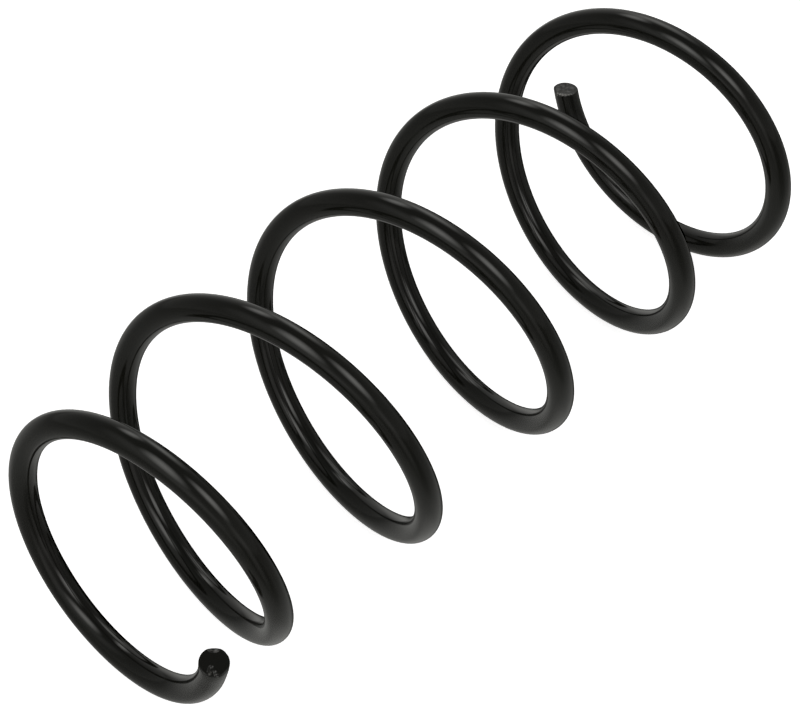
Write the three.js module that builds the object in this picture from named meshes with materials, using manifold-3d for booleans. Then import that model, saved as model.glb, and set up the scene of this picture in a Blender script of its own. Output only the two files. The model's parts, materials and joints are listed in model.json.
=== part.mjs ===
// A car's coil suspension spring: one bar of round spring steel wound right-handed, powder-coated black,
// with a slightly drawn-in lower end and a small upper end. Units are millimetres and +Z is up. A loose
// spring rests on its side, so its axis lies along X, with the upper end towards -X. The origin is on
// the surface that it lies on, under the middle of the coil.
//
// The coil is wound standing, with its axis along its own Z and its lower end at the bottom, and the
// finished coil is then laid down. The wire is built in eighth-turn sections, cut on planes through the
// axis. A spring gives way a little everywhere along its wire, so each section slides along the axis by
// its own share of the spring's travel, and the planes let neighbours pass each other without touching.
import * as THREE from "three";
import { mergeVertices } from "three/addons/utils/BufferGeometryUtils.js";
import Module from "manifold-3d";

// Wire and coil
const wireDiameter = 12;
const meanCoilDiameter = 140; // measured across the wire's centre on the active coils
const totalTurns = 5.44; // from one cut end of the wire to the other
const activePitch = 86.5; // rise of the wire per full turn, spring unloaded

// Lower end, with turns counted from the lower cut end
const lowerMeanDiameter = 136;
const lowerStraightTurns = 0.66; // wound at the lower diameter before it grows
const lowerTaperTurns = 0.38; // over which it grows to the active diameter
const lowerLevelTurns = 0.16; // lies level on the lower seat
const lowerPitchTurns = 1.03; // over which the pitch opens to the active pitch

// Upper end, with turns counted from the upper cut end
const upperMeanDiameter = 120;
const upperStraightTurns = 0.73;
const upperTaperTurns = 0.93;
const upperLevelTurns = 0.08;
const upperPitchTurns = 1.68;
const upperTipFlare = 1.5; // how far the last half turn springs out again at the cut end
const upperFlareTurns = 0.5;

// Lying on its side, the coil rolls until its heavier side is down. The wire's lower cut end then stands
// this many degrees round from the top, anticlockwise seen from the upper end.
const restingRoll = 103.6;

// Sections
const sectionsPerTurn = 8;
const lowerEndSections = 4; // these stay with the lower seat
const upperEndSections = 5; // these stay with the upper seat, the last one cut short by the wire's end
const sectionGap = 0.3;
const wireSides = 12;
const stepsPerSection = 6;
const overrunTurns = 0.012; // each tube is this much too long before the planes trim it

const wireRadius = wireDiameter / 2;
const fullTurn = 2 * Math.PI;
const sectionCount = Math.ceil(totalTurns * sectionsPerTurn);

// Distance of the wire's centre from the axis, a number of turns up from the lower cut end.
function coilRadius(turns) {
  const fromTop = totalTurns - turns;
  const lowerTaper = THREE.MathUtils.smoothstep(
    turns, lowerStraightTurns, lowerStraightTurns + lowerTaperTurns,
  );
  const upperTaper = THREE.MathUtils.smoothstep(
    fromTop, upperStraightTurns, upperStraightTurns + upperTaperTurns,
  );
  const lowerDrawIn = ((meanCoilDiameter - lowerMeanDiameter) / 2) * (1 - lowerTaper);
  const upperDrawIn = ((meanCoilDiameter - upperMeanDiameter) / 2) * (1 - upperTaper);
  const flare = upperTipFlare * (1 - THREE.MathUtils.smoothstep(fromTop, 0, upperFlareTurns));
  return meanCoilDiameter / 2 - lowerDrawIn - upperDrawIn + flare;
}

// Turns' worth of full pitch between a cut end and a point this many turns from it. The pitch is zero
// on the level stretch, then opens along a parabola, whose integral this is.
function risenTurns(fromEnd, levelTurns, pitchTurns) {
  const opened = THREE.MathUtils.clamp((fromEnd - levelTurns) / pitchTurns, 0, 1);
  const beyond = Math.max(0, fromEnd - levelTurns - pitchTurns);
  return pitchTurns * (opened ** 2 - opened ** 3 / 3) + beyond;
}

// Height of the wire's centre above the lower seat, with the coil standing.
function coilHeight(turns) {
  const middle = totalTurns / 2;
  const fromBottom = risenTurns(Math.min(turns, middle), lowerLevelTurns, lowerPitchTurns);
  const upperHalf = risenTurns(totalTurns - middle, upperLevelTurns, upperPitchTurns);
  const leftAbove = risenTurns(totalTurns - Math.max(turns, middle), upperLevelTurns, upperPitchTurns);
  return wireRadius + activePitch * (fromBottom + upperHalf - leftAbove);
}

const freeHeight = coilHeight(totalTurns) + wireRadius;

// The wire's centre line between two numbers of turns. It starts over +X and climbs anticlockwise.
class WireCentreLine extends THREE.Curve {
  constructor(fromTurns, toTurns) {
    super();
    this.fromTurns = fromTurns;
    this.toTurns = toTurns;
  }

  getPoint(t, target = new THREE.Vector3()) {
    const turns = THREE.MathUtils.lerp(this.fromTurns, this.toTurns, t);
    const radius = coilRadius(turns);
    const angle = turns * fullTurn;
    return target.set(radius * Math.cos(angle), radius * Math.sin(angle), coilHeight(turns));
  }
}

// The wire's cross-section: a polygon whose sides touch the round wire from outside, one of them on top.
function wireSection() {
  const cornerRadius = wireRadius / Math.cos(Math.PI / wireSides);
  const corners = [];
  for (let i = 0; i < wireSides; i++) {
    const angle = ((i + 0.5) / wireSides) * fullTurn;
    corners.push(new THREE.Vector2(cornerRadius * Math.cos(angle), cornerRadius * Math.sin(angle)));
  }
  return new THREE.Shape(corners);
}

// Everything between two planes through the axis, each moved inwards by an allowance.
function wedge(fromTurns, toTurns, startAllowance, endAllowance) {
  const inside = meanCoilDiameter / 4;
  const outside = meanCoilDiameter;
  const fromAngle = fromTurns * fullTurn;
  const toAngle = toTurns * fullTurn;
  const corner = (radius, angle, sideways) =>
    new THREE.Vector2(
      radius * Math.cos(angle) - sideways * Math.sin(angle),
      radius * Math.sin(angle) + sideways * Math.cos(angle),
    );
  const outline = new THREE.Shape([
    corner(inside, fromAngle, startAllowance),
    corner(outside, fromAngle, startAllowance),
    corner(outside, toAngle, -endAllowance),
    corner(inside, toAngle, -endAllowance),
  ]);
  const geometry = new THREE.ExtrudeGeometry(outline, {
    depth: freeHeight + 2 * wireDiameter,
    bevelEnabled: false,
  });
  return geometry.translate(0, 0, -wireDiameter);
}

const wasm = await Module();
wasm.setup();

// A closed geometry as a manifold-3d solid.
function solid(geometry) {
  const bare = geometry.clone();
  bare.deleteAttribute("normal");
  bare.deleteAttribute("uv");
  const merged = mergeVertices(bare, 1e-4);
  return new wasm.Manifold(
    new wasm.Mesh({
      numProp: 3,
      vertProperties: new Float32Array(merged.attributes.position.array),
      triVerts: new Uint32Array(merged.index.array),
    }),
  );
}

function geometryOf(manifold) {
  const { vertProperties, triVerts } = manifold.getMesh();
  const geometry = new THREE.BufferGeometry();
  geometry.setAttribute("position", new THREE.BufferAttribute(new Float32Array(vertProperties), 3));
  geometry.setIndex(new THREE.BufferAttribute(new Uint32Array(triVerts), 1));
  geometry.computeVertexNormals();
  return geometry;
}

const blackCoat = { color: 0x1c1c1b, roughness: 0.32, metalness: 0.0 };

// One eighth of a turn of wire. Its two faces keep half the gap to the planes, and the wire's own cut
// ends lie on theirs.
function wireMesh(index) {
  const fromTurns = index / sectionsPerTurn;
  const toTurns = Math.min((index + 1) / sectionsPerTurn, totalTurns);
  const tube = new THREE.ExtrudeGeometry(wireSection(), {
    steps: Math.max(2, Math.ceil(stepsPerSection * (toTurns - fromTurns) * sectionsPerTurn)),
    extrudePath: new WireCentreLine(fromTurns - overrunTurns, toTurns + overrunTurns),
    bevelEnabled: false,
  });
  const startAllowance = index === 0 ? 0 : sectionGap / 2;
  const endAllowance = index === sectionCount - 1 ? 0 : sectionGap / 2;
  const trimmed = solid(tube).intersect(solid(wedge(fromTurns, toTurns, startAllowance, endAllowance)));
  const mesh = new THREE.Mesh(geometryOf(trimmed), new THREE.MeshStandardMaterial(blackCoat));
  const turn = Math.floor(index / sectionsPerTurn) + 1;
  const degrees = String((index % sectionsPerTurn) * (360 / sectionsPerTurn)).padStart(3, "0");
  mesh.name = `${partOfSpring(index)}_turn_${turn}_${degrees}deg`;
  return mesh;
}

function partOfSpring(index) {
  if (index < lowerEndSections) return "lower_end";
  if (index >= sectionCount - upperEndSections) return "upper_end";
  return "active";
}

// The coil standing on its lower end, one group for each part of it.
const places = {
  lower_end: new THREE.Group(),
  active: new THREE.Group(),
  upper_end: new THREE.Group(),
};
for (let index = 0; index < sectionCount; index++) {
  places[partOfSpring(index)].add(wireMesh(index));
}
const coil = new THREE.Group();
coil.add(...Object.values(places));
coil.rotation.z = THREE.MathUtils.degToRad(restingRoll);
coil.position.z = -freeHeight / 2;

// The coil laid on its side, resting on the outside of its active coils.
const spring = new THREE.Group();
spring.add(coil);
spring.rotation.y = -Math.PI / 2;
spring.position.z = meanCoilDiameter / 2 + wireRadius;

const part = new THREE.Group();
part.add(spring);

export default part;
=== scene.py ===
# A car's coil suspension spring lying on its side on a pale studio floor, finished around its CAD model.
#
# The CAD model holds the wire as short rigid sections that slide past each other. Here the wire is what it
# really is: one round bar, wound on the same line, that gives a little everywhere along its length as the
# spring is compressed. It is shaped as a straight bar with its two cut ends first, and then wound.
# Lengths are metres in the CAD model's frame: +Z is up, the spring's axis lies along X, and its small
# upper end is towards -X. Angles in the tables are degrees.
import json
import math

import bpy
import numpy as np
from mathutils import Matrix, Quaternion, Vector, noise

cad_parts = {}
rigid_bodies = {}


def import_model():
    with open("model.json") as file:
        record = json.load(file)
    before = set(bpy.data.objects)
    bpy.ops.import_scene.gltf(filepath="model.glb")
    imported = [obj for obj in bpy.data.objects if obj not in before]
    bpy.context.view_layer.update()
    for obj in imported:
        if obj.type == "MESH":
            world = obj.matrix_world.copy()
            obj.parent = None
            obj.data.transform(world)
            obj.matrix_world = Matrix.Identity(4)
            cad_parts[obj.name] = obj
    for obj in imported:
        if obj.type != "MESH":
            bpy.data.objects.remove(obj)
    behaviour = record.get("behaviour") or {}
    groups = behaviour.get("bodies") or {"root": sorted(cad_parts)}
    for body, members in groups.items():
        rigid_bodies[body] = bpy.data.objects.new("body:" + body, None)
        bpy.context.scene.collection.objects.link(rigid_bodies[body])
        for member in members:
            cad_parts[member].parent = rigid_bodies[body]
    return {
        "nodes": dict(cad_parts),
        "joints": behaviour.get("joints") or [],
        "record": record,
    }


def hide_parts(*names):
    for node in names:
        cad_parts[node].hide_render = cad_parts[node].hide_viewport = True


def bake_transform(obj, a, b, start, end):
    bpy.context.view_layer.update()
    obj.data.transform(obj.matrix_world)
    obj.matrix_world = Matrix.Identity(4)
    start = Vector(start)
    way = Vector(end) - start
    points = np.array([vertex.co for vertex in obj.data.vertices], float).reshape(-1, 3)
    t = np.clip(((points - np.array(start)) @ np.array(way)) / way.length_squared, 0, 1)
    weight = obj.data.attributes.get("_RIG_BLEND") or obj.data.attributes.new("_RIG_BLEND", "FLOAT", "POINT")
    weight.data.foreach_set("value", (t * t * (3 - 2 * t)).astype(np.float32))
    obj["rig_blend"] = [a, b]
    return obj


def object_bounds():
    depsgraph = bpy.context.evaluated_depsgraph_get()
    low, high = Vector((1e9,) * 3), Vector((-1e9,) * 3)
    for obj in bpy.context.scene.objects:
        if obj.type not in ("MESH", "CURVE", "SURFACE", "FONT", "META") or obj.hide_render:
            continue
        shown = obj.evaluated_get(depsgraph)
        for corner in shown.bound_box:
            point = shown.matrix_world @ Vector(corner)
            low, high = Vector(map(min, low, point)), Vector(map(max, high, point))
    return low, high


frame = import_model()
cad_low, cad_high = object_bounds()

# Wire and coil, as in the CAD model. Turns are counted along the wire from its lower cut end, and those of
# the upper end's shape from the upper cut. From its cut, each end keeps its own diameter for the straight
# turns and widens over the taper turns. It rises only after the level turns, and reaches the full pitch
# over the pitch turns. The upper tip also flares out a little, over the flare turns.
wire_radius = 0.006
mean_coil_diameter = 0.140
total_turns = 5.44
active_pitch = 0.0865
lower_mean_diameter = 0.136
lower_straight_turns = 0.66
lower_taper_turns = 0.38
lower_level_turns = 0.16
lower_pitch_turns = 1.03
upper_mean_diameter = 0.120
upper_straight_turns = 0.73
upper_taper_turns = 0.93
upper_level_turns = 0.08
upper_pitch_turns = 1.68
upper_tip_flare = 0.0015
upper_flare_turns = 0.5
resting_roll = math.radians(103.6)

# Sections of the CAD model, which say how the travel is shared out along the wire.
sections_per_turn = 8
lower_end_sections = 4

# Mesh. Its rings stand closer together near the cut ends, whose rims are rounded.
sides = 64
ring_spacing = 0.003
end_ring_spacing = 0.0003
fine_end_length = 0.006
face_rings = 19
rim_rings = 5
rim_radius = 0.0004
worked_length = 2 * wire_radius
scoops_in_a_gouge = 7

# Spots on the cut ends: bare steel where the coat is worn through, painted light enough to also stand in for
# the glints there as painted highlights. Angle round the bar, distance from its centre line and size, in
# wire radii.
upper_wear_and_glint_spots = (
    (297, 0.64, 0.09),
    (298, 0.76, 0.12),
    (297, 0.88, 0.16),
    (318, 0.79, 0.10),
    (318, 0.89, 0.13),
    (332, 1.00, 0.09),
)
lower_wear_and_glint_spots = (
    (198, 0.93, 0.12),
    (214, 0.90, 0.14),
    (231, 0.86, 0.16),
    (248, 0.84, 0.14),
    (262, 0.90, 0.14),
    (277, 0.94, 0.12),
)
# The spots' edges wander by up to half of this.
spot_raggedness = 0.0016
# The cut faces lean out of the spots' plane, so distances along the bar count for only this share.
spot_depth_share = 0.5

# Camera, with its lens in millimetres. Azimuths of lights and of patches in the room are turned from the
# way that it looks.
view_azimuth = 47.59
view_elevation = 46.34
view_distance = 1.0539
view_target = Vector((-0.01175, -0.00148, 0.06676))
view_lens = 106.56

# Soft panels: name, azimuth, elevation, distance, width, height, roll and radiance.
softboxes = (
    ("left_front", -148, 51, 1.03, 0.68, 1.22, 8, 2.35),
    ("right_front", 144, 50, 0.73, 0.54, 0.74, -43, 2.5),
    ("left_back", -17, 53, 0.98, 0.41, 0.84, -41, 2.0),
    ("right_back", 20, 43, 0.76, 0.48, 0.88, 30, 1.4),
    ("low_back", 2, 25, 0.85, 1.55, 2.2, 21, 0.28),
    ("low_left", -141, 26, 0.88, 3.2, 0.8, -43, 0.28),
    ("low_right", 156, 3, 1.05, 0.7, 2.1, -8, 0.28),
)
light_tint = (1.0, 1.0, 0.96)

# The dim room round the spring: how much light it sheds, and the tones that the gloss shows, each at a
# height from 0, straight down, through 0.5, the horizon, to 1, overhead.
room_light = 0.2
room_tones = ((0, 0.28), (0.49, 0.16), (0.53, 0.25), (1, 0.13))

# Soft round patches in the room: azimuth, elevation, the angle each spreads over, and the tone it adds.
room_patches = (
    (-9, -18, 25, 0.29),
    (-52, -36, 34, 0.12),
    (62, -66, 46, 0.13),
    (20, -39, 33, -0.32),
    (0, -88, 22, 0.09),
    (150, -22, 36, -0.12),
)


def ease(x):
    """Rises smoothly from 0 at x = 0 to 1 at x = 1."""
    x = np.clip(x, 0, 1)
    return x * x * (3 - 2 * x)


# ---------------------------------------------------------------------------- the wire's centre line


def coil_radius(turns):
    """Distance of the wire's centre from the coil's axis."""
    from_top = total_turns - turns
    lower_draw_in = (mean_coil_diameter - lower_mean_diameter) / 2
    upper_draw_in = (mean_coil_diameter - upper_mean_diameter) / 2
    return (
        mean_coil_diameter / 2
        - lower_draw_in * (1 - ease((turns - lower_straight_turns) / lower_taper_turns))
        - upper_draw_in * (1 - ease((from_top - upper_straight_turns) / upper_taper_turns))
        + upper_tip_flare * (1 - ease(from_top / upper_flare_turns))
    )


def risen_turns(from_end, level_turns, pitch_turns):
    """Turns' worth of full pitch between a cut end and a point this many turns from it. Past the level
    turns, the slope opens as 2x - x squared, and this sums it up."""
    opened = np.clip((from_end - level_turns) / pitch_turns, 0, 1)
    beyond = np.maximum(0, from_end - level_turns - pitch_turns)
    return pitch_turns * (opened**2 - opened**3 / 3) + beyond


def coil_height(turns):
    """Height of the wire's centre above the lower seat, if the spring stood on it."""
    middle = total_turns / 2
    from_bottom = risen_turns(np.minimum(turns, middle), lower_level_turns, lower_pitch_turns)
    upper_half = risen_turns(total_turns - middle, upper_level_turns, upper_pitch_turns)
    left_above = risen_turns(total_turns - np.maximum(turns, middle), upper_level_turns, upper_pitch_turns)
    return wire_radius + active_pitch * (from_bottom + upper_half - left_above)


def centre_line(turns):
    """Points on the wire's centre, with the spring lying on its side."""
    angle = resting_roll + 2 * math.pi * turns
    radius = coil_radius(turns)
    free_height = coil_height(total_turns) + wire_radius
    x = free_height / 2 - coil_height(turns)
    y = radius * np.sin(angle)
    z = mean_coil_diameter / 2 + wire_radius + radius * np.cos(angle)
    return np.stack([x, y, z], axis=-1)


# The wire's length, and the turns at each length along it.
line_samples = 20001
fine_turns = np.linspace(0, total_turns, line_samples)
steps = np.linalg.norm(np.diff(centre_line(fine_turns), axis=0), axis=1)
fine_lengths = np.concatenate([[0], np.cumsum(steps)])
wire_length = fine_lengths[-1]


def turns_at(length):
    return np.interp(length, fine_lengths, fine_turns)


# ---------------------------------------------------------------------------- the straight bar


def face_profile():
    """Distance from the bar's centre, and depth below the cut, from the middle of a cut end to its rim."""
    flat = np.linspace(0, wire_radius - rim_radius, face_rings + 1)[1:]
    rounded = np.radians(np.linspace(0, 90, rim_rings + 1))[1:]
    distance = np.concatenate([flat, wire_radius - rim_radius * (1 - np.sin(rounded))])
    depth = np.concatenate([np.zeros(len(flat)), rim_radius * (1 - np.cos(rounded))])
    return distance, depth


def side_lengths():
    """Where the rings of the bar's side stand, from end to end, closer together near the cut ends."""
    near = np.arange(rim_radius + end_ring_spacing, fine_end_length, end_ring_spacing)
    middle_length = wire_length - 2 * fine_end_length
    middle = fine_end_length + np.linspace(0, middle_length, round(middle_length / ring_spacing))
    return np.concatenate([near, middle, (wire_length - near)[::-1]])


def straight_bar():
    """Vertices and faces of a round bar along its third coordinate, from 0 to its length."""
    distance, depth = face_profile()
    lengths = side_lengths()
    ring_distance = np.concatenate([distance, np.full(len(lengths), wire_radius), distance[::-1]])
    ring_length = np.concatenate([depth, lengths, (wire_length - depth)[::-1]])
    angle = 2 * math.pi * np.arange(sides) / sides
    rings = np.stack(
        [
            np.outer(ring_distance, np.cos(angle)),
            np.outer(ring_distance, np.sin(angle)),
            np.repeat(ring_length[:, None], sides, axis=1),
        ],
        axis=-1,
    )
    vertices = np.concatenate([rings.reshape(-1, 3), [[0, 0, 0], [0, 0, wire_length]]])
    last_ring = (len(ring_length) - 1) * sides
    first_pole, last_pole = len(vertices) - 2, len(vertices) - 1
    faces = []
    for i in range(sides):
        j = (i + 1) % sides
        faces.append((first_pole, j, i))
        for start in range(0, last_ring, sides):
            faces.append((start + i, start + j, start + sides + j, start + sides + i))
        faces.append((last_pole, last_ring + i, last_ring + j))
    return vertices, faces


# The cut ends are worked one at a time, each seen with its cut at height 0 and the rest of the bar below.


def in_radii(angle, out, above):
    """A point at an angle round the bar, this far out from its centre line and above its cut face.
    The distances are in wire radii."""
    turned = math.radians(angle)
    return np.array([out * math.cos(turned), out * math.sin(turned), above])


def scoop(points, centre, radius):
    """Takes a ball's shape out of an end. Its centre and radius are in wire radii."""
    away = points - wire_radius * centre
    distance = np.linalg.norm(away, axis=1, keepdims=True)
    inside = distance < radius * wire_radius
    return np.where(inside, wire_radius * centre + away * (radius * wire_radius / distance), points)


def gouge(points, start, end, radius):
    """Takes a groove out of an end, as a row of scoops from one point to another."""
    for share in np.linspace(0, 1, scoops_in_a_gouge):
        points = scoop(points, start + (end - start) * share, radius)
    return points


def raise_rim(points, angle, spread, height):
    """Draws part of the rim up into a burr, round an angle and over a spread, this many wire radii high."""
    burr_start, burr_width, burr_depth = 0.8, 0.15, 0.25
    around = np.degrees(np.arctan2(points[:, 1], points[:, 0]))
    off = (around - angle + 180) % 360 - 180
    share = np.exp(-((off / spread) ** 2))
    near_rim = ease((np.hypot(points[:, 0], points[:, 1]) / wire_radius - burr_start) / burr_width)
    near_cut = ease(1 + points[:, 2] / (burr_depth * wire_radius))
    raised = points.copy()
    raised[:, 2] += height * wire_radius * share * near_rim * near_cut
    return raised


def roughen(points, depth, size, seed):
    """Gives the cut face the uneven grain of sheared steel, coarse and fine, and leaves its rim smooth."""
    smooth_start, smooth_width = 0.85, 0.15
    fine_share, fine_scale = 0.5, 2.3
    rough = points.copy()
    for point in rough:
        if point[2] > -rim_radius:
            place = Vector((point[0] / size, point[1] / size, seed))
            out = math.hypot(point[0], point[1]) / wire_radius
            inward = 1 - ease((out - smooth_start) / smooth_width)
            grain = noise.noise(place) + fine_share * noise.noise(place * fine_scale)
            point[2] += depth * inward * grain
    return rough


def slant(points, angle, degrees):
    """Leans a cut face over towards an angle round the bar, drawing the last of the bar with it."""
    turned = math.radians(angle)
    across = points[:, 0] * math.cos(turned) + points[:, 1] * math.sin(turned)
    leaning = points.copy()
    leaning[:, 2] -= math.tan(math.radians(degrees)) * across * ease(1 + points[:, 2] / worked_length)
    return leaning


def swell(points, share, length):
    """Makes the last of the bar a little fatter, as a blunt shear does."""
    fatter = points.copy()
    fatter[:, :2] *= 1 + share * ease(1 + points[:, 2:] / length)
    return fatter


def upper_end(points):
    """The upper cut end: smooth, with a long chip out of its rim and a few short gouges opposite."""
    points = swell(points, share=0.05, length=0.010)
    points = roughen(points, depth=0.00010, size=0.0035, seed=4.0)
    points = scoop(points, in_radii(137, 1.34, 1.44), radius=1.6)
    points = scoop(points, in_radii(82, 3.95, -0.4), radius=2.95)
    points = gouge(points, in_radii(290, 0.46, 0.14), in_radii(297, 0.98, 0.12), radius=0.22)
    points = gouge(points, in_radii(317, 0.72, 0.11), in_radii(318, 1.00, 0.09), radius=0.17)
    points = scoop(points, in_radii(332, 1.04, 0.08), radius=0.18)
    return slant(points, angle=315, degrees=9)


def lower_end(points):
    """The lower cut end: a mottled sheared face, bevelled and notched along one side."""
    points = roughen(points, depth=0.00035, size=0.0030, seed=9.0)
    points = raise_rim(points, angle=325, spread=18, height=0.06)
    points = scoop(points, in_radii(246, 1.36, 2.07), radius=2.2)
    points = scoop(points, in_radii(250, 1.14, 0.0), radius=0.24)
    return slant(points, angle=153, degrees=11)


def bar_with_cut_ends():
    """The straight bar with each of its cut ends worked."""
    bar, faces = straight_bar()
    lower = bar[:, 2] < worked_length
    flipped = bar[lower] * [1, 1, -1]
    bar[lower] = lower_end(flipped) * [1, 1, -1]
    upper = bar[:, 2] > wire_length - worked_length
    bar[upper] = upper_end(bar[upper] - [0, 0, wire_length]) + [0, 0, wire_length]
    return bar, faces


# ---------------------------------------------------------------------------- winding and travel


def normalised(vectors):
    return vectors / np.linalg.norm(vectors, axis=-1, keepdims=True)


def wound(bar):
    """The straight bar's points, wound into the coil. What passes the line's ends goes straight on."""
    length = np.clip(bar[:, 2], 0, wire_length)
    beyond = bar[:, 2] - length
    turns = turns_at(length)
    small_turn = 1e-4
    along = normalised(centre_line(turns + small_turn) - centre_line(turns - small_turn))
    angle = resting_roll + 2 * math.pi * turns
    outward = np.stack([np.zeros_like(angle), np.sin(angle), np.cos(angle)], axis=-1)
    outward = normalised(outward - along * np.sum(outward * along, axis=1, keepdims=True))
    sideways = np.cross(along, outward)
    across = bar[:, :1] * outward + bar[:, 1:2] * sideways
    return centre_line(turns) + across + beyond[:, None] * along


def travel_share(turns):
    """Share of the spring's travel that the wire makes at a number of turns. It comes from the record's
    couplings, each at the middle of its section, and is averaged over a section's length to be smooth."""
    ratios = [coupling["ratio"] for coupling in frame["record"]["behaviour"]["couplings"]]
    middles = (lower_end_sections + 0.5 + np.arange(len(ratios))) / sections_per_turn
    first = lower_end_sections / sections_per_turn
    last = first + len(ratios) / sections_per_turn
    known_turns = [first, *middles, last]
    known_shares = [0, *ratios, 1]
    half_window = 0.5 / sections_per_turn
    samples = 9
    offsets = np.linspace(-half_window, half_window, samples)
    return np.mean([np.interp(turns + offset, known_turns, known_shares) for offset in offsets], axis=0)


def make_wire():
    bar, faces = bar_with_cut_ends()
    mesh = bpy.data.meshes.new("spring_wire")
    mesh.from_pydata(wound(bar), [], faces)
    mesh.shade_smooth()
    straight = mesh.attributes.new("bar_position", "FLOAT_VECTOR", "POINT")
    straight.data.foreach_set("vector", bar.astype(np.float32).ravel())
    wire = bpy.data.objects.new("spring_wire", mesh)
    bpy.context.scene.collection.objects.link(wire)

    joint = frame["joints"][0]
    low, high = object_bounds()
    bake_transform(wire, joint["parent"], joint["child"], start=(high[0], 0, 0), end=(low[0], 0, 0))
    # The blend runs evenly along X, and the real wire gives by its turns, so those shares replace it.
    shares = travel_share(turns_at(np.clip(bar[:, 2], 0, wire_length)))
    mesh.attributes["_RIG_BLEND"].data.foreach_set("value", shares.astype(np.float32))
    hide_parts(*frame["nodes"])
    return wire


# ---------------------------------------------------------------------------- shader nodes


def connect(tree, value, socket):
    """Links a node's socket to another node's output, or sets it to a plain value."""
    if isinstance(value, bpy.types.NodeSocket):
        tree.links.new(value, socket)
    else:
        socket.default_value = value


def vector_math(tree, operation, *values, output="Vector"):
    node = tree.nodes.new("ShaderNodeVectorMath")
    node.operation = operation
    for value, socket in zip(values, node.inputs):
        connect(tree, value, socket)
    return node.outputs[output]


def greater(tree, first, second):
    node = tree.nodes.new("ShaderNodeMath")
    node.operation = "MAXIMUM"
    tree.links.new(first, node.inputs[0])
    tree.links.new(second, node.inputs[1])
    return node.outputs["Value"]


def ranged(tree, value, before=(0, 1), after=(0, 1), smooth=False):
    """Takes a value from its place in one range to the same place in another, and no further."""
    node = tree.nodes.new("ShaderNodeMapRange")
    if smooth:
        node.interpolation_type = "SMOOTHSTEP"
    for name, limit in zip(("From Min", "From Max", "To Min", "To Max"), (*before, *after)):
        node.inputs[name].default_value = limit
    tree.links.new(value, node.inputs["Value"])
    return node.outputs["Result"]


def stretched(tree, coordinates, amounts):
    node = tree.nodes.new("ShaderNodeMapping")
    node.inputs["Scale"].default_value = amounts
    tree.links.new(coordinates, node.inputs["Vector"])
    return node.outputs["Vector"]


def noise_node(tree, coordinates, scale, detail=2.0, output="Fac"):
    node = tree.nodes.new("ShaderNodeTexNoise")
    node.inputs["Scale"].default_value = scale
    node.inputs["Detail"].default_value = detail
    tree.links.new(coordinates, node.inputs["Vector"])
    return node.outputs[output]


def mixed(tree, factor, low, high):
    """Colour between two, each a colour or the output of a node."""
    node = tree.nodes.new("ShaderNodeMix")
    node.data_type = "RGBA"
    node.clamp_factor = True
    low_colour, high_colour, mixed_colour = node.inputs[6], node.inputs[7], node.outputs[2]
    for value, socket in ((low, low_colour), (high, high_colour)):
        connect(tree, (*value, 1) if isinstance(value, tuple) else value, socket)
    tree.links.new(factor, node.inputs[0])
    return mixed_colour


def bumped(tree, height, depth, normal=None):
    node = tree.nodes.new("ShaderNodeBump")
    node.inputs["Distance"].default_value = depth
    tree.links.new(height, node.inputs["Height"])
    if normal:
        tree.links.new(normal, node.inputs["Normal"])
    return node.outputs["Normal"]


def near_point(tree, coordinates, point, size):
    """1 out to half this size from a point, falling to 0 at the whole of it."""
    distance = vector_math(tree, "DISTANCE", coordinates, point, output="Value")
    return ranged(tree, distance, before=(0.5 * size, size), after=(1, 0))


# ---------------------------------------------------------------------------- materials


def principled(name):
    material = bpy.data.materials.new(name)
    material.use_nodes = True
    return material, material.node_tree, material.node_tree.nodes["Principled BSDF"]


def powder_coat():
    """Smooth black powder coat over drawn bar: slow waves, fine orange peel and long faint draw lines."""
    material, tree, shader = principled("black_powder_coat")
    bar_position = tree.nodes.new("ShaderNodeAttribute")
    bar_position.attribute_name = "bar_position"
    place = bar_position.outputs["Vector"]

    peel = noise_node(tree, place, scale=420)
    waves = noise_node(tree, stretched(tree, place, (1, 1, 0.35)), scale=110, detail=1.0)
    lines = noise_node(tree, stretched(tree, place, (1, 1, 0.03)), scale=900, detail=1.0)
    normal = bumped(tree, waves, depth=0.00006)
    normal = bumped(tree, peel, depth=0.00001, normal=normal)
    normal = bumped(tree, lines, depth=0.000016, normal=normal)
    tree.links.new(normal, shader.inputs["Normal"])

    darker_coat = (0.0046, 0.0047, 0.0034)
    lighter_coat = (0.0058, 0.0059, 0.0044)
    # Bare steel, light enough that it also paints in the glints on the cut ends: a painted highlight.
    bare_steel_and_glint = (0.20, 0.195, 0.185)
    tone = noise_node(tree, place, scale=60, detail=3.0)
    coat = mixed(tree, tone, darker_coat, lighter_coat)
    colour = mixed(tree, wear_and_glint_spots(tree, place), coat, bare_steel_and_glint)
    tree.links.new(colour, shader.inputs["Base Color"])
    tree.links.new(ranged(tree, tone, before=(0.3, 0.7), after=(0.07, 0.10)), shader.inputs["Roughness"])
    shader.inputs["IOR"].default_value = 1.5
    return material


def wear_and_glint_spots(tree, place):
    """Spots on the cut ends, 0 to 1: bare steel where the coat is worn or chipped through, painted light so
    that they also serve as painted highlights for the glints there.
    """
    unevenness = noise_node(tree, place, scale=1200, output="Color")
    centred = vector_math(tree, "SUBTRACT", unevenness, (0.5, 0.5, 0.5))
    ragged = vector_math(tree, "MULTIPLY_ADD", centred, (spot_raggedness, spot_raggedness, 0), place)
    flattened = stretched(tree, ragged, (1, 1, spot_depth_share))
    wear_and_glint = None
    for spots, end in ((upper_wear_and_glint_spots, wire_length), (lower_wear_and_glint_spots, 0)):
        for angle, out, size in spots:
            x, y, _ = wire_radius * in_radii(angle, out, 0)
            spot = near_point(tree, flattened, (x, y, end * spot_depth_share), size * wire_radius)
            wear_and_glint = spot if wear_and_glint is None else greater(tree, wear_and_glint, spot)
    return wear_and_glint


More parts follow.
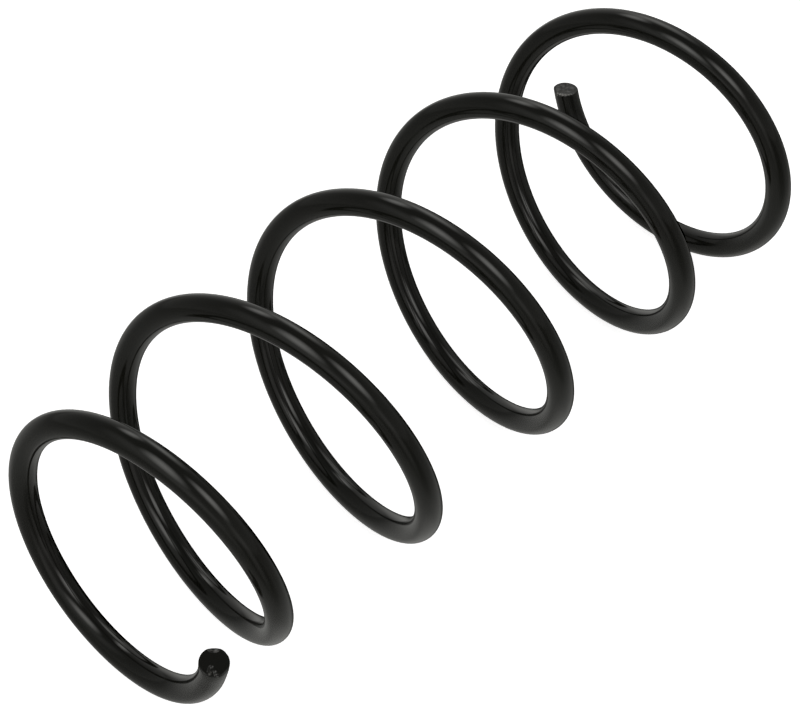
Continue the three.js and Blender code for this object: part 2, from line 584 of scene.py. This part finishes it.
def floor_finish():
    """A pale matt floor, slightly lit from within so that it meets the white round it without a line."""
    material, tree, shader = principled("pale_floor")
    shader.inputs["Base Color"].default_value = (0.93, 0.93, 0.93, 1)
    shader.inputs["Roughness"].default_value = 0.9
    shader.inputs["Specular IOR Level"].default_value = 0.1
    shader.inputs["Emission Color"].default_value = (1, 1, 1, 1)
    shader.inputs["Emission Strength"].default_value = 0.81
    return material


# ---------------------------------------------------------------------------- studio


def make_floor():
    half_width = 15.0
    below_spring = 0.0001
    corners = [(x * half_width, y * half_width, 0) for x, y in ((-1, -1), (1, -1), (1, 1), (-1, 1))]
    mesh = bpy.data.meshes.new("floor")
    mesh.from_pydata(corners, [], [(0, 1, 2, 3)])
    mesh.materials.append(floor_finish())
    floor = bpy.data.objects.new("floor", mesh)
    floor.location.z = cad_low[2] - below_spring
    floor.visible_glossy = False
    bpy.context.scene.collection.objects.link(floor)


def direction(azimuth, elevation):
    """Unit vector towards a compass direction, from +Y towards +X, and a height above the horizon."""
    a, e = math.radians(azimuth), math.radians(elevation)
    return Vector((math.sin(a) * math.cos(e), math.cos(a) * math.cos(e), math.sin(e)))


def make_camera():
    data = bpy.data.cameras.new("camera")
    data.sensor_width = 36
    data.lens = view_lens
    data.clip_start = 0.05
    data.clip_end = 60
    camera = bpy.data.objects.new("camera", data)
    forward = direction(view_azimuth, -view_elevation)
    camera.location = view_target - forward * view_distance
    camera.rotation_mode = "QUATERNION"
    camera.rotation_quaternion = forward.to_track_quat("-Z", "Y")
    bpy.context.scene.collection.objects.link(camera)
    bpy.context.scene.camera = camera


def fade_to_edges(tree):
    """A panel's brightness: full in its middle, fading out to nothing on the ellipse inside its edges."""
    geometry = tree.nodes.new("ShaderNodeNewGeometry")
    centred = vector_math(tree, "MULTIPLY_ADD", geometry.outputs["Parametric"], (2, 2, 0), (-1, -1, 0))
    distance = vector_math(tree, "LENGTH", centred, output="Value")
    return ranged(tree, distance, after=(1, 0), smooth=True)


def softbox(name, azimuth, elevation, distance, width, height, roll, radiance):
    """A soft panel facing the spring."""
    data = bpy.data.lights.new(name, "AREA")
    data.shape = "RECTANGLE"
    data.size = width
    data.size_y = height
    data.energy = radiance * math.pi * width * height
    data.color = light_tint
    data.use_nodes = True
    tree = data.node_tree
    tree.links.new(fade_to_edges(tree), tree.nodes["Emission"].inputs["Strength"])
    light = bpy.data.objects.new(name, data)
    towards = direction(view_azimuth + azimuth, elevation)
    light.location = view_target + towards * distance
    light.rotation_mode = "QUATERNION"
    upright = towards.to_track_quat("Z", "Y")
    light.rotation_quaternion = upright @ Quaternion((0, 0, 1), math.radians(roll))
    light.visible_camera = False
    bpy.context.scene.collection.objects.link(light)


def tinted(tone):
    return tuple(tone * share for share in light_tint)


def room_in_the_gloss(tree):
    """The dim room that the gloss shows: tones by height, with soft patches."""
    coordinates = tree.nodes.new("ShaderNodeTexCoord")
    towards = coordinates.outputs["Generated"]
    parts = tree.nodes.new("ShaderNodeSeparateXYZ")
    tree.links.new(towards, parts.inputs["Vector"])
    tones = tree.nodes.new("ShaderNodeValToRGB")
    tree.links.new(ranged(tree, parts.outputs["Z"], before=(-1, 1)), tones.inputs["Fac"])
    stops = tones.color_ramp.elements
    for height, _ in room_tones[1:-1]:
        stops.new(height)
    for stop, (_, tone) in zip(stops, room_tones):
        stop.color = (*tinted(tone), 1)
    room = tones.outputs["Color"]
    for patch in room_patches:
        room = patch_added(tree, room, towards, *patch)
    return room


def patch_added(tree, room, towards, azimuth, elevation, spread, tone):
    """Makes the room lighter or darker in a soft round patch, spread over an angle round a direction."""
    centre = direction(view_azimuth + azimuth, elevation)
    nearness = vector_math(tree, "DOT_PRODUCT", towards, centre, output="Value")
    amount = ranged(tree, nearness, before=(math.cos(math.radians(spread)), 1), smooth=True)
    return vector_math(tree, "MULTIPLY_ADD", amount, tinted(tone), room)


def light_studio():
    """White all round for the camera, and a dim room with soft panels for the gloss."""
    world = bpy.data.worlds.new("studio")
    bpy.context.scene.world = world
    world.use_nodes = True
    tree = world.node_tree
    background = tree.nodes["Background"]
    rays = tree.nodes.new("ShaderNodeLightPath")
    for_camera = mixed(tree, rays.outputs["Is Camera Ray"], (room_light,) * 3, (1, 1, 1))
    shade = mixed(tree, rays.outputs["Is Glossy Ray"], for_camera, room_in_the_gloss(tree))
    tree.links.new(shade, background.inputs["Color"])
    for panel in softboxes:
        softbox(*panel)
    bpy.context.scene.view_settings.view_transform = "Standard"


wire = make_wire()
wire.data.materials.append(powder_coat())
make_floor()
make_camera()
light_studio()
